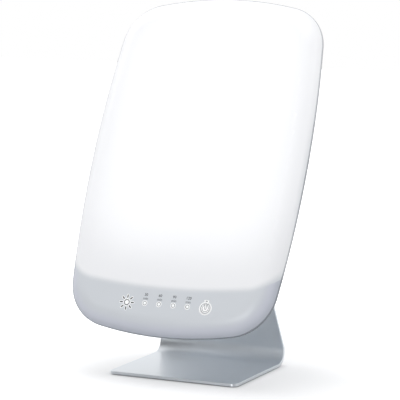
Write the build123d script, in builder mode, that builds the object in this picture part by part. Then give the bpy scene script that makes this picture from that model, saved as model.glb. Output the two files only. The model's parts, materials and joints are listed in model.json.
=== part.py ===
from build123d import *

# Light therapy lamp: a large domed light panel that leans back on a bent aluminium stand.
# A friction hinge at the top of the stand lets the panel tilt, and a push button in the
# control band under the light surface switches it and steps through the time lights.
#
# Row frame in millimetres: +X to the right of someone facing the lamp, +Y to the back, +Z up.
# The origin lies on the table, under the middle of the lamp's overall width and depth.

import os
from math import cos, radians, sin, tan

# ---------------------------------------------------------------- driving dimensions, stand
plate_thickness = 4.5
stand_width = 216.5
foot_length = 157.5  # flat length, from the front edge to the start of the bend
foot_front = 93.0  # from the origin forward to the foot's front edge
foot_corner_radius = 12.0
bend_radius = 18.5  # on the inside of the bend
upright_lean = 15.0  # the upright leans forward by this much, degrees
upright_taper = 7.5  # each side of the upright draws in by this much, degrees
upright_above_hinge = 13.0
upright_corner_radius = 22.0
pad_thickness = 1.2
pad_radius = 9.0
pad_spacing_x = 172.0
pad_spacing_y = 126.0
pad_setback = 22.0  # from the foot's front edge to the middle of the front pads

# ---------------------------------------------------------------- driving dimensions, head
head_lean = 25.3  # the head leans back by this much, degrees
corner_span_x = 331.0  # between the sharp corners that the outline's rounding cuts off
corner_span_y = 500.0
side_bulge = 16.6
top_bulge = 25.6
bottom_bulge = 23.5
top_corner_radius = 71.0
bottom_corner_radius = 75.0
ring_depth = 4.0  # the grey trim line all round, half in front of the rim plane
cover_step = 0.8  # the covers stand in from the trim line by this much
front_depth = 20.0  # rim plane to the front face
front_draft = 28.0  # how far the front cover's sides lean in, degrees
front_round = 30.0
front_wall = 3.0
rear_depth = 28.0  # rim plane to the back face
rear_draft = 30.0
rear_round = 24.0
rear_wall = 2.5
seam_drop = 201.3  # the seam's lowest point, below the head's centre
seam_reach = 182.0  # from the middle to the upright lines that the seam's ends turn up to
seam_sag = 16.0  # the seam's middle hangs this far under its arc's ends
seam_corner_radius = 52.0
seam_gap = 0.05  # between the light surface and the control band
seam_tongue = 4.0  # the fascia's tongue reaches this far past the seam
tongue_thickness = 1.5
fit_gap = 0.1  # between pieces that sit in each other and don't move

# ---------------------------------------------------------------- driving dimensions, hinge
hinge_up_upright = 230.3  # from the end of the bend up the upright to the hinge pin
hinge_off_face = 14.0  # pin axis to the face that each leaf is screwed to
hinge_below_centre = 58.7  # pin axis below the head's centre, along the head
pin_radius = 4.0
pin_head_radius = 6.0
pin_head_height = 3.0
pin_head_round = 0.75
pin_end_chamfer = 0.5
pin_past_nut = 1.5
running_gap = 0.05  # pin to bush
leaf_length = 112.0
leaf_height = 34.0
leaf_thickness = 3.0
stand_leaf_top = 10.0  # the stand's leaf reaches this far above the pin
knuckle_radius = 8.0
middle_knuckle_width = 28.8
knuckle_width = 14.0
knuckle_gap = 0.6
washer_thickness = 0.5
washer_radius = 7.0
bush_wall = 1.5
leaf_screw_spacing_x = 96.0
leaf_screw_spacing_y = 22.0
leaf_screw_radius = 2.0
leaf_screw_head_radius = 3.6
leaf_screw_head_height = 2.3
spring_washer_thickness = 1.2
spring_washer_dish = 0.6
spring_washer_count = 2
nut_across_flats = 10.0
nut_height = 5.0
stiffener_length = 124.0
stiffener_height = 52.0
stiffener_thickness = 2.0
stiffener_corner_radius = 3.6

# ---------------------------------------------------------------- driving dimensions, frame
cross_reach = 1.25  # length of a screw's cross, in radii of its head
cross_width_share = 0.3  # and its width
lip_height = 3.0
lip_wall = 1.5
ledge_width = 12.5
ledge_thickness = 2.0
tab_depth = 6.0
tab_width = 28.0
tab_height = 14.0
tab_inset = 17.5  # from the outline's sharp corners in to the side tabs' middle
tab_rows = (188.0, 64.0, -64.0, -165.0)
end_tab_offset = 60.0
end_tab_reach = 243.0  # end tabs, above and below the head's centre
housing_screw_inset = 23.5
housing_screw_reach = 240.0
housing_screw_radius = 1.5
housing_screw_head_radius = 3.0
housing_screw_head_height = 2.0
housing_screw_length = 8.0
post_radius = 4.6
post_floor = 3.0
well_radius = 3.4
vent_count = 12
vent_pitch = 9.0
vent_length = 26.0
vent_width = 2.5
vent_reach = 214.0  # vent rows, above and below the head's centre
recess_width = 92.0
recess_height = 44.0
recess_depth = 0.4
recess_up = 18.0

# ---------------------------------------------------------------- driving dimensions, light
tray_inset = 14.0
tray_wall = 1.2
tray_floor = 1.5
tray_height = 10.0
tray_above_seam = 6.0
tray_screw_inset = 12.5
tray_screw_radius = 1.2
tray_screw_head_radius = 2.4
tray_screw_head_height = 1.5
tray_screw_length = 5.5
film_thickness = 0.8
baffle_thickness = 2.5
strip_count = 7
strip_first = -160.0  # lowest strip, above the head's centre
strip_pitch = 58.0
strip_end_inset = 20.5  # from the outline's sharp corners in to the strips' ends
strip_width = 14.0
strip_thickness = 1.6
led_per_strip = 8
led_size = 5.0
led_height = 1.2
rivet_columns = 3  # LED pitches from the strip's middle to each rivet
rivet_radius = 1.2
rivet_head_radius = 2.4
rivet_head_height = 0.8
rivet_length = 4.1
lead_slot_width = 9.0
lead_slot_height = 4.0

# ---------------------------------------------------------------- driving dimensions, controls
board_thickness = 1.6
control_row_drop = 227.2  # below the head's centre
control_board_width = 180.0
control_board_height = 24.0
control_board_level = 9.0  # the board's back face, in front of the rim plane
control_post_inset = 6.0
control_post_spacing = 16.0
control_post_radius = 2.6
small_screw_radius = 1.1
small_screw_head_radius = 2.1
small_screw_head_height = 1.3
small_screw_length = 5.0
light_pipe_first = -31.8  # leftmost time light, to the right of the head's centre
light_pipe_pitch = 23.8
light_pipe_count = 4
light_pipe_radius = 2.2
light_pipe_flange = 1.2
light_pipe_rim = 1.0
indicator_size = 3.0
indicator_height = 1.2
button_offset = 69.5
button_radius = 8.2
button_gap = 0.35
button_proud = 0.4
button_travel = 0.8
button_rest_gap = 0.3  # flange to the fascia's inner face
button_flange = 1.4
button_rim = 1.7
button_edge_round = 0.6
stem_radius = 2.2
switch_size = 6.0
switch_height = 3.4
plunger_radius = 1.7
plunger_height = 1.0  # out of the switch at rest
plunger_engaged = 1.4  # inside the switch at rest
ribbon_width = 14.0
ribbon_thickness = 0.8
ribbon_bend = 8.0
ribbon_level = -11.0
ribbon_connector = (20.0, 6.0, 5.0)

# ---------------------------------------------------------------- driving dimensions, driver
driver_width = 150.0
driver_height = 78.0
driver_up = 105.0
driver_standoff = 8.5
driver_screw_spacing_x = 138.0
driver_screw_spacing_y = 66.0
standoff_radius = 3.0
inductor_spots = ((-45.0, 13.0), (-20.0, 13.0))
inductor_radius = 9.0
inductor_height = 8.5
inductor_waist = 1.6
inductor_flange = 2.0
capacitor_spots = ((8.0, 20.0), (24.0, 20.0), (40.0, 20.0))
capacitor_radius = 5.0
capacitor_height = 11.0
capacitor_top_round = 0.8
chip_spots = ((-36.0, -12.0), (-14.0, -10.0), (6.0, -8.0))
chip_size = 8.0
chip_height = 1.6
heatsink_spot = (38.0, -6.0)
heatsink_width = 34.0
heatsink_height = 20.0
heatsink_base = 2.0
heatsink_fins = 7
fin_thickness = 1.4
fin_height = 7.5
connector_row = -33.0
inlet_connector_across = -58.0
ribbon_connector_across = 0.0
light_connector_across = 40.0
connector_width = 12.0
connector_depth = 8.0
connector_height = 7.0
lead_level = -12.0
lead_clear_level = -6.5
wire_radius = 0.9
wire_spacing = 3.6
wire_bend = 5.0
inlet_turn_drop = 57.5  # below the driver's connectors, where the inlet's leads turn
lead_run_in = 15.0  # straight run of a lead into its connector

inlet_across = -96.0
inlet_drop = 214.0
inlet_radius = 5.0
inlet_flange_radius = 7.0
inlet_flange = 1.2
inlet_depth = 14.0  # rim plane back to the inlet's inner end
inlet_bore_radius = 2.9
inlet_bore_floor = 3.0
inlet_pin_radius = 1.05
inlet_pin_round = 0.5
inlet_nut_flats = 13.0
inlet_nut_height = 2.5

# ---------------------------------------------------------------- frames worked out from those
floor_to_face = pad_thickness + plate_thickness
lean_up = radians(upright_lean)
lean_back = radians(head_lean)
bend_y = foot_length - foot_front
bend_z = floor_to_face + bend_radius

# upright: x across, y up the upright, z towards the head, on the upright's front face.
upright = Plane(
    origin=(0, bend_y + bend_radius * cos(lean_up), bend_z + bend_radius * sin(lean_up)),
    x_dir=(1, 0, 0),
    z_dir=(0, -cos(lean_up), -sin(lean_up)),
)
upright_side = Plane(origin=upright.origin, x_dir=upright.y_dir, z_dir=(1, 0, 0))
upright_back = Plane(
    origin=upright.origin - upright.z_dir * plate_thickness,
    x_dir=-upright.x_dir,
    z_dir=-upright.z_dir,
)
hinge_point = upright.from_local_coords(Vector(0, hinge_up_upright, hinge_off_face))

# head: x across, y up the head, z out of its front. Its origin is the middle of the rim plane.
head_up = Vector(0, sin(lean_back), cos(lean_back))
head_out = Vector(0, -cos(lean_back), sin(lean_back))
head = Plane(
    origin=hinge_point + head_up * hinge_below_centre + head_out * (rear_depth + hinge_off_face),
    x_dir=(1, 0, 0),
    z_dir=head_out,
)
head_side = Plane(origin=head.origin, x_dir=head.y_dir, z_dir=(1, 0, 0))

# Levels along the head's z, and insets from its outline.
ring_half = ring_depth / 2
front_inner = front_depth - front_wall
rear_inner = -rear_depth + rear_wall
cover_front_inset = cover_step + front_wall / cos(radians(front_draft))
cover_rear_inset = cover_step + rear_wall / cos(radians(rear_draft))
lip_lean = lip_height * tan(radians(max(front_draft, rear_draft)))
lip_inset = max(cover_front_inset, cover_rear_inset) + lip_lean + fit_gap
band_inset = lip_inset + lip_wall
ledge_inset = band_inset + ledge_width
round_reach = front_round * tan(radians(90 - front_draft) / 2)
flat_inset = cover_step + front_depth * tan(radians(front_draft)) + round_reach
control_board_front = control_board_level + board_thickness
driver_board_back = rear_inner + driver_standoff
driver_board_front = driver_board_back + board_thickness
leaf_back = -rear_depth - leaf_thickness
strip_top = tray_floor + strip_thickness

# Spots across the head.
head_side_reach = corner_span_x / 2
tab_offset = head_side_reach - tab_inset
housing_screw_offset = head_side_reach - housing_screw_inset
tray_screw_offset = head_side_reach - tray_screw_inset
strip_length = corner_span_x - 2 * strip_end_inset
led_pitch = strip_length / led_per_strip
rivet_offset = rivet_columns * led_pitch
control_post_offset = control_board_width / 2 - control_post_inset

os.makedirs("parts", exist_ok=True)


def save(piece, name):
    """Label a finished piece and write its STEP file."""
    piece.part.label = name
    export_step(piece.part, f"parts/{name}.step")


def head_back(level):
    """The plane across the head at a level that faces backwards, its x running to the left."""
    origin = head.origin + head.z_dir * level
    return Plane(origin=origin, x_dir=-head.x_dir, z_dir=-head.z_dir)


def case_outline(inset=0.0):
    """The head's outline seen from the front, drawn in by inset."""
    x = corner_span_x / 2
    y = corner_span_y / 2
    with BuildSketch(Plane.XY, mode=Mode.PRIVATE) as outline:
        with BuildLine():
            ThreePointArc((-x, -y), (0, -y - bottom_bulge), (x, -y))
            ThreePointArc((x, -y), (x + side_bulge, 0), (x, y))
            ThreePointArc((x, y), (0, y + top_bulge), (-x, y))
            ThreePointArc((-x, y), (-x - side_bulge, 0), (-x, -y))
        make_face()
        fillet(outline.vertices().group_by(Axis.Y)[0], bottom_corner_radius)
        fillet(outline.vertices().group_by(Axis.Y)[-1], top_corner_radius)
        if inset:
            offset(amount=-inset)
    return outline.sketch


def under_seam(raise_by=0.0):
    """Everything under the seam between light surface and control band, the seam raised."""
    low = raise_by - seam_drop
    ends = low + seam_sag
    top = ends + seam_corner_radius
    with BuildSketch(Plane.XY, mode=Mode.PRIVATE) as window:
        with BuildLine():
            seam = ThreePointArc((-seam_reach, ends), (0, low), (seam_reach, ends))
            above = ((seam_reach, corner_span_y), (-seam_reach, corner_span_y))
            Polyline(seam @ 1, *above, seam @ 0)
        make_face()
        fillet(window.vertices().group_by(Axis.Y)[0], seam_corner_radius)
    with BuildSketch(Plane.XY, mode=Mode.PRIVATE) as region:
        with Locations((0, (top - corner_span_y) / 2)):
            Rectangle(3 * seam_reach, top + corner_span_y)
        add(window.sketch, mode=Mode.SUBTRACT)
    return region.sketch


def pillow(plane, depth, inset, draft, edge_round):
    """A dome on plane: the outline drawn in by inset, sides leaning in, its face's edge round."""
    outline = case_outline(inset)
    with BuildPart() as dome:
        with BuildSketch(plane):
            add(outline)
        extrude(amount=depth, taper=draft)
        face = dome.faces().sort_by(Axis(plane.origin, plane.z_dir))[-1]
        fillet(face.edges(), edge_round)
    return dome.part


def cylinders(plane, spots, radius, height, mode=Mode.ADD):
    """Round posts, or holes, in the part being built: one on plane at each of the spots."""
    with BuildSketch(plane) as discs:
        with Locations(*spots):
            Circle(radius)
    extrude(discs.sketch, amount=height, mode=mode)


def blocks(plane, spots, width, depth, height, mode=Mode.ADD):
    """Rectangular blocks, or pockets, in the part being built."""
    with BuildSketch(plane) as bases:
        with Locations(*spots):
            Rectangle(width, depth)
    extrude(bases.sketch, amount=height, mode=mode)


def screws(plane, spots, head_radius, head_height, shank_radius, shank_length):
    """Pan-head screws in the part being built, their heads on plane and a cross in each."""
    cross_length = head_radius * cross_reach
    cross_width = head_radius * cross_width_share
    cylinders(plane, spots, head_radius, head_height)
    cylinders(plane, spots, shank_radius, -shank_length)
    with BuildSketch(plane.offset(head_height)) as crosses:
        with Locations(*spots):
            Rectangle(cross_length, cross_width)
            Rectangle(cross_width, cross_length)
    extrude(crosses.sketch, amount=-head_height / 2, mode=Mode.SUBTRACT)


def knuckle(side, along, seat, axis, start, width):
    """A hinge knuckle in the part being built: an eye at axis on a lug that stands on seat."""
    with BuildSketch(side.offset(start)) as eye:
        with Locations((along, axis)):
            Circle(knuckle_radius)
        with Locations((along, (seat + axis) / 2)):
            Rectangle(2 * knuckle_radius, abs(axis - seat))
    extrude(eye.sketch, amount=width)


def hinge_disc(start, radius, height, bore=0.0):
    """A disc or ring round the pin's axis in the part being built."""
    with BuildSketch(pin_plane.offset(start)) as ring:
        Circle(radius)
        if bore:
            Circle(bore, mode=Mode.SUBTRACT)
    extrude(ring.sketch, amount=height)


def wire(points, bends):
    """A round lead in the part being built: straight runs joined by tangent arcs."""
    corners = [head.from_local_coords(Vector(*point)) for point in points]
    with BuildLine():
        route = FilletPolyline(*corners, radius=bends)
    with BuildSketch(Plane(origin=route @ 0, z_dir=route % 0)) as section:
        Circle(wire_radius)
    sweep(section.sketch, path=route)


def pairs(half, rows):
    """Points at minus and plus half across, on each of the rows."""
    return [(side * half, row) for row in rows for side in (-1, 1)]


# ================================================================ stand
# One bent plate: the flat foot, the bend at the back, and the upright that leans forward.
upright_length = hinge_up_upright + upright_above_hinge
upright_run = upright_length * sin(lean_up)
upright_climb = upright_length * cos(lean_up)
bend_end = (bend_y + bend_radius * cos(lean_up), bend_z + bend_radius * sin(lean_up))
upright_top = (bend_end[0] - upright_run, bend_end[1] + upright_climb)
upright_top_back = (
    upright_top[0] + plate_thickness * cos(lean_up),
    upright_top[1] + plate_thickness * sin(lean_up),
)
stand_leaf_middle = hinge_up_upright + stand_leaf_top - leaf_height / 2
leaf_screw_rows = (-leaf_screw_spacing_y / 2, leaf_screw_spacing_y / 2)
stand_leaf_spots = pairs(leaf_screw_spacing_x / 2, [stand_leaf_middle + r for r in leaf_screw_rows])
head_leaf_spots = pairs(leaf_screw_spacing_x / 2, [r - hinge_below_centre for r in leaf_screw_rows])
leaf_hole_radius = leaf_screw_radius + fit_gap

with BuildPart() as stand_plate:
    with BuildSketch(Plane.YZ):
        with BuildLine():
            underside = Line((-foot_front, pad_thickness), (bend_y, pad_thickness))
            turn = 90 + upright_lean
            outer = CenterArc((bend_y, bend_z), bend_radius + plate_thickness, -90, turn)
            inner = CenterArc((bend_y, bend_z), bend_radius, -90, turn)
            Polyline(outer @ 1, upright_top_back, upright_top, inner @ 1)
            Polyline(inner @ 0, (-foot_front, floor_to_face), underside @ 0)
        make_face()
    extrude(amount=stand_width / 2, both=True)
    # The upright's sides draw in towards its top.
    reach = upright_length + plate_thickness
    narrow = stand_width / 2 - reach * tan(radians(upright_taper))
    with BuildSketch(upright.offset(plate_thickness)):
        for side in (-1, 1):
            with BuildLine():
                Polyline(
                    (side * stand_width / 2, 0),
                    (side * narrow, reach),
                    (side * stand_width, reach),
                    (side * stand_width, 0),
                    close=True,
                )
            make_face()
    extrude(amount=-3 * plate_thickness, mode=Mode.SUBTRACT)
    fillet(stand_plate.edges().filter_by(Axis.Z).group_by(Axis.Y)[0], foot_corner_radius)
    across_upright = Axis(upright.origin, upright.z_dir)
    fillet(
        stand_plate.edges().filter_by(across_upright).group_by(Axis.Z)[-1],
        upright_corner_radius,
    )
    cylinders(upright_back, stand_leaf_spots, leaf_hole_radius, -plate_thickness, Mode.SUBTRACT)
save(stand_plate, "stand_plate")

# Four rubber pads under the foot carry the lamp.
with BuildPart() as foot_pads:
    front_row = pad_setback - foot_front
    pad_spots = pairs(pad_spacing_x / 2, (front_row, front_row + pad_spacing_y))
    cylinders(Plane.XY, pad_spots, pad_radius, pad_thickness)
save(foot_pads, "foot_pads")

# ================================================================ hinge
# Knuckles from the middle out: one wide knuckle of the stand, one of the head on each side,
# and one more of the stand outside those. Friction washers fill the gaps between them.
pin_plane = Plane(origin=hinge_point, x_dir=head.y_dir, z_dir=(1, 0, 0))
head_knuckle_start = middle_knuckle_width / 2 + knuckle_gap
outer_knuckle_start = head_knuckle_start + knuckle_width + knuckle_gap
hinge_half = outer_knuckle_start + knuckle_width
bush_radius = pin_radius + running_gap + bush_wall

with BuildPart() as stand_hinge_leaf:
    blocks(upright, [(0, stand_leaf_middle)], leaf_length, leaf_height, leaf_thickness)
    starts = {
        -hinge_half: knuckle_width,
        -middle_knuckle_width / 2: middle_knuckle_width,
        outer_knuckle_start: knuckle_width,
    }
    for start, width in starts.items():
        knuckle(upright_side, hinge_up_upright, leaf_thickness, hinge_off_face, start, width)
    cylinders(pin_plane.offset(-hinge_half), [(0, 0)], pin_radius, 2 * hinge_half, Mode.SUBTRACT)
    cylinders(upright, stand_leaf_spots, leaf_hole_radius, leaf_thickness, Mode.SUBTRACT)
save(stand_hinge_leaf, "stand_hinge_leaf")

with BuildPart() as stand_leaf_screws:
    screws(
        upright_back,
        stand_leaf_spots,
        leaf_screw_head_radius,
        leaf_screw_head_height,
        leaf_screw_radius,
        plate_thickness + leaf_thickness,
    )
save(stand_leaf_screws, "stand_leaf_screws")

with BuildPart() as head_hinge_leaf:
    leaf_plane = head.offset(leaf_back)
    blocks(leaf_plane, [(0, -hinge_below_centre)], leaf_length, leaf_height, leaf_thickness)
    for start in (-head_knuckle_start - knuckle_width, head_knuckle_start):
        knuckle(
            head_side,
            -hinge_below_centre,
            leaf_back,
            -rear_depth - hinge_off_face,
            start,
            knuckle_width,
        )
    bore_plane = pin_plane.offset(-hinge_half)
    cylinders(bore_plane, [(0, 0)], bush_radius, 2 * hinge_half, Mode.SUBTRACT)
    cylinders(leaf_plane, head_leaf_spots, leaf_hole_radius, leaf_thickness, Mode.SUBTRACT)
save(head_hinge_leaf, "head_hinge_leaf")

# Nylon bushes line the head's knuckles and turn on the pin.
with BuildPart() as hinge_bushes:
    for start in (-head_knuckle_start - knuckle_width, head_knuckle_start):
        hinge_disc(start, bush_radius, knuckle_width, bore=pin_radius + running_gap)
save(hinge_bushes, "hinge_bushes")

with BuildPart() as friction_washers:
    play = (knuckle_gap - washer_thickness) / 2
    for gap_start in (
        -outer_knuckle_start,
        -head_knuckle_start,
        middle_knuckle_width / 2,
        head_knuckle_start + knuckle_width,
    ):
        hinge_disc(gap_start + play, washer_radius, washer_thickness, bore=pin_radius)
save(friction_washers, "friction_washers")

spring_pitch = spring_washer_thickness + fit_gap
spring_stack = spring_pitch * spring_washer_count
with BuildPart() as hinge_pin:
    hinge_disc(-hinge_half, pin_radius, 2 * hinge_half + spring_stack + nut_height + pin_past_nut)
    hinge_disc(-hinge_half - pin_head_height, pin_head_radius, pin_head_height)
    fillet(hinge_pin.faces().sort_by(Axis.X)[0].edges(), pin_head_round)
    chamfer(hinge_pin.faces().sort_by(Axis.X)[-1].edges(), pin_end_chamfer)
save(hinge_pin, "hinge_pin")

# Cone-shaped spring washers under the nut set how stiff the hinge is.
with BuildPart() as spring_washers:
    for index in range(spring_washer_count):
        washer_start = hinge_half + fit_gap + index * spring_pitch
        hinge_disc(washer_start, washer_radius, spring_washer_thickness, bore=pin_radius)
    rims = spring_washers.edges().filter_by(GeomType.CIRCLE).group_by(SortBy.RADIUS)[-1]
    outer_rims = rims.sort_by(Axis.X)[1::2]
    chamfer(outer_rims, spring_washer_dish)
save(spring_washers, "spring_washers")

with BuildPart() as hinge_nut:
    with BuildSketch(pin_plane.offset(hinge_half + spring_stack)):
        RegularPolygon(nut_across_flats / 2, 6, major_radius=False)
        Circle(pin_radius, mode=Mode.SUBTRACT)
    extrude(amount=nut_height)
save(hinge_nut, "hinge_nut")

with BuildPart() as head_leaf_screws:
    screws(
        head_back(leaf_back),
        head_leaf_spots,
        leaf_screw_head_radius,
        leaf_screw_head_height,
        leaf_screw_radius,
        leaf_thickness + rear_wall + stiffener_thickness,
    )
save(head_leaf_screws, "head_leaf_screws")

# A steel plate inside the housing spreads the hinge's load.
with BuildPart() as stiffener_plate:
    stiffener_spot = [(0, -hinge_below_centre)]
    stiffener_size = (stiffener_length, stiffener_height, stiffener_thickness)
    blocks(head.offset(rear_inner), stiffener_spot, *stiffener_size)
    fillet(
        stiffener_plate.edges().filter_by(Axis(head.origin, head.z_dir)),
        stiffener_corner_radius,
    )
    cylinders(
        head.offset(rear_inner),
        head_leaf_spots,
        leaf_hole_radius,
        stiffener_thickness,
        Mode.SUBTRACT,
    )
save(stiffener_plate, "stiffener_plate")

# ================================================================ housing
# The trim ring is the head's frame: its outer band is the grey line all round, its lips hold
# the covers, its ledge carries the reflector tray, and its tabs take the screws.
rim_outline = case_outline()
lip_outline = case_outline(lip_inset)
band_outline = case_outline(band_inset)
ledge_outline = case_outline(ledge_inset)
side_tabs = pairs(tab_offset, tab_rows)
end_tabs = pairs(end_tab_offset, (-end_tab_reach, end_tab_reach))
end_screw_spots = pairs(end_tab_offset, (-housing_screw_reach, housing_screw_reach))
housing_screw_spots = pairs(housing_screw_offset, tab_rows) + end_screw_spots
tray_screw_spots = pairs(tray_screw_offset, tab_rows)

with BuildPart() as trim_ring:
    with BuildSketch(head.offset(-ring_half)):
        add(rim_outline)
        add(band_outline, mode=Mode.SUBTRACT)
    extrude(amount=ring_depth)
    with BuildSketch(head.offset(-ring_half - lip_height)):
        add(lip_outline)
        add(band_outline, mode=Mode.SUBTRACT)
    extrude(amount=ring_depth + 2 * lip_height)
    with BuildSketch(head.offset(-ledge_thickness)):
        add(band_outline)
        add(ledge_outline, mode=Mode.SUBTRACT)
    extrude(amount=ledge_thickness)
    blocks(head.offset(-tab_depth), side_tabs, tab_width, tab_height, tab_depth)
    blocks(head.offset(-tab_depth), end_tabs, tab_height, tab_width, tab_depth)
    screw_bore = housing_screw_length - post_floor
    cylinders(
        head.offset(-tab_depth),
        housing_screw_spots,
        housing_screw_radius,
        screw_bore,
        Mode.SUBTRACT,
    )
    cylinders(head, tray_screw_spots, tray_screw_radius, -tray_screw_length, Mode.SUBTRACT)
save(trim_ring, "trim_ring")

rear_skin = pillow(
    head_back(-ring_half), rear_depth - ring_half, cover_step, rear_draft, rear_round
)
rear_hollow = pillow(
    head_back(-ring_half),
    rear_depth - ring_half - rear_wall,
    cover_rear_inset,
    rear_draft,
    rear_round - rear_wall,
)
driver_screw_spots = pairs(
    driver_screw_spacing_x / 2,
    (driver_up - driver_screw_spacing_y / 2, driver_up + driver_screw_spacing_y / 2),
)
with BuildPart() as rear_housing:
    add(rear_skin)
    add(rear_hollow, mode=Mode.SUBTRACT)
    back_inner_face = head.offset(rear_inner)
    back_outer_face = head.offset(-rear_depth)
    post_height = -tab_depth - rear_inner
    well_depth = rear_depth - tab_depth - post_floor
    cylinders(back_inner_face, housing_screw_spots, post_radius, post_height)
    cylinders(back_outer_face, housing_screw_spots, well_radius, well_depth, Mode.SUBTRACT)
    shank_hole_radius = housing_screw_radius + fit_gap
    cylinders(
        back_outer_face,
        housing_screw_spots,
        shank_hole_radius,
        well_depth + post_floor,
        Mode.SUBTRACT,
    )
    cylinders(back_inner_face, driver_screw_spots, standoff_radius, driver_standoff)
    cylinders(
        head.offset(driver_board_back),
        driver_screw_spots,
        small_screw_radius,
        board_thickness - small_screw_length,
        Mode.SUBTRACT,
    )
    cylinders(back_outer_face, head_leaf_spots, leaf_hole_radius, rear_wall, Mode.SUBTRACT)
    cylinders(
        back_outer_face,
        [(inlet_across, -inlet_drop)],
        inlet_radius + fit_gap,
        rear_wall,
        Mode.SUBTRACT,
    )
    with BuildSketch(back_outer_face):
        with Locations((0, vent_reach), (0, -vent_reach)):
            with GridLocations(vent_pitch, 0, vent_count, 1):
                SlotOverall(vent_length, vent_width, rotation=90)
    extrude(amount=rear_wall, mode=Mode.SUBTRACT)
    blocks(
        back_outer_face, [(0, recess_up)], recess_width, recess_height, recess_depth, Mode.SUBTRACT
    )
save(rear_housing, "rear_housing")

with BuildPart() as housing_screws:
    screws(
        head_back(-tab_depth - post_floor),
        housing_screw_spots,
        housing_screw_head_radius,
        housing_screw_head_height,
        housing_screw_radius,
        housing_screw_length,
    )
save(housing_screws, "housing_screws")

# The front is one dome in two pieces, which meet at the seam: the opal light surface above,
# and the grey control band below, whose tongue reaches behind the light surface's edge.
front_skin = pillow(
    head.offset(ring_half), front_depth - ring_half, cover_step, front_draft, front_round
)
front_hollow = pillow(
    head.offset(ring_half),
    front_inner - ring_half,
    cover_front_inset,
    front_draft,
    front_round - front_wall,
)
seam_region = under_seam()
seam_region_raised = under_seam(seam_gap)
with BuildPart() as diffuser:
    add(front_skin)
    add(front_hollow, mode=Mode.SUBTRACT)
    with BuildSketch(head):
        add(seam_region_raised)
    extrude(amount=2 * front_depth, mode=Mode.SUBTRACT)
save(diffuser, "diffuser")

light_pipe_spots = [
    (light_pipe_first + index * light_pipe_pitch, -control_row_drop)
    for index in range(light_pipe_count)
]
button_spot = [(button_offset, -control_row_drop)]
control_post_rows = (
    -control_row_drop - control_post_spacing / 2,
    -control_row_drop + control_post_spacing / 2,
)
control_post_spots = pairs(control_post_offset, control_post_rows)
flat_outline = case_outline(flat_inset)
tongue_above = under_seam(seam_tongue)
tongue_below = under_seam(-seam_tongue)
with BuildPart() as control_fascia:
    add(front_skin)
    add(front_hollow, mode=Mode.SUBTRACT)
    with BuildSketch(head):
        add(seam_region)
    extrude(amount=2 * front_depth, mode=Mode.INTERSECT)
    with BuildSketch(head.offset(front_inner - tongue_thickness)):
        add(tongue_above)
        add(tongue_below, mode=Mode.SUBTRACT)
        add(flat_outline, mode=Mode.INTERSECT)
    extrude(amount=tongue_thickness - fit_gap)
    with BuildSketch(head.offset(front_inner - fit_gap)):
        add(seam_region)
        add(tongue_below, mode=Mode.SUBTRACT)
        add(flat_outline, mode=Mode.INTERSECT)
    extrude(amount=fit_gap)
    post_length = front_inner - control_board_front
    cylinders(
        head.offset(control_board_front), control_post_spots, control_post_radius, post_length
    )
    cylinders(
        head.offset(control_board_front),
        control_post_spots,
        small_screw_radius,
        small_screw_length - board_thickness,
        Mode.SUBTRACT,
    )
    cylinders(
        head.offset(front_inner),
        light_pipe_spots,
        light_pipe_radius + fit_gap,
        front_wall,
        Mode.SUBTRACT,
    )
    cylinders(
        head.offset(front_inner), button_spot, button_radius + button_gap, front_wall, Mode.SUBTRACT
    )
save(control_fascia, "control_fascia")

# ================================================================ light engine
# A shallow aluminium tray, open to the front and ending just above the seam, holds the strips.
tray_outline = case_outline(tray_inset)
tray_cavity = case_outline(tray_inset + tray_wall)
tray_cut = under_seam(tray_above_seam)
tray_cavity_cut = under_seam(tray_above_seam + tray_wall)
strip_spots = [(0, strip_first + index * strip_pitch) for index in range(strip_count)]
led_spots = [
    ((column - (led_per_strip - 1) / 2) * led_pitch, row)
    for _, row in strip_spots
    for column in range(led_per_strip)
]
rivet_spots = pairs(rivet_offset, [row for _, row in strip_spots])
lead_strip_row = strip_spots[strip_count // 2][1]
with BuildPart() as reflector_tray:
    with BuildSketch(head):
        add(tray_outline)
        add(tray_cut, mode=Mode.SUBTRACT)
    extrude(amount=tray_height)
    with BuildSketch(head.offset(tray_floor)):
        add(tray_cavity)
        add(tray_cavity_cut, mode=Mode.SUBTRACT)
    extrude(amount=tray_height, mode=Mode.SUBTRACT)
    cylinders(head, tray_screw_spots, tray_screw_radius + fit_gap, tray_floor, Mode.SUBTRACT)
    cylinders(head, rivet_spots, rivet_radius + fit_gap, tray_floor, Mode.SUBTRACT)
    blocks(
        head,
        [(light_connector_across, lead_strip_row)],
        lead_slot_width,
        lead_slot_height,
        tray_floor,
        Mode.SUBTRACT,
    )
save(reflector_tray, "reflector_tray")

with BuildPart() as tray_screws:
    screws(
        head.offset(tray_floor),
        tray_screw_spots,
        tray_screw_head_radius,
        tray_screw_head_height,
        tray_screw_radius,
        tray_screw_length,
    )
save(tray_screws, "tray_screws")

with BuildPart() as led_strips:
    strip_size = (strip_length, strip_width, strip_thickness)
    blocks(head.offset(tray_floor), strip_spots, *strip_size)
    cylinders(
        head.offset(tray_floor),
        rivet_spots,
        rivet_radius + fit_gap,
        strip_thickness,
        Mode.SUBTRACT,
    )
save(led_strips, "led_strips")

with BuildPart() as led_packages:
    blocks(head.offset(strip_top), led_spots, led_size, led_size, led_height)
save(led_packages, "led_packages")

with BuildPart() as strip_rivets:
    cylinders(head.offset(strip_top), rivet_spots, rivet_head_radius, rivet_head_height)
    cylinders(head.offset(strip_top), rivet_spots, rivet_radius, -rivet_length)
save(strip_rivets, "strip_rivets")

# The film lies on the tray's wall and spreads the light before it reaches the light surface.
with BuildPart() as diffuser_film:
    with BuildSketch(head.offset(tray_height)):
        add(tray_outline)
        add(tray_cut, mode=Mode.SUBTRACT)
    extrude(amount=film_thickness)
save(diffuser_film, "diffuser_film")

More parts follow.
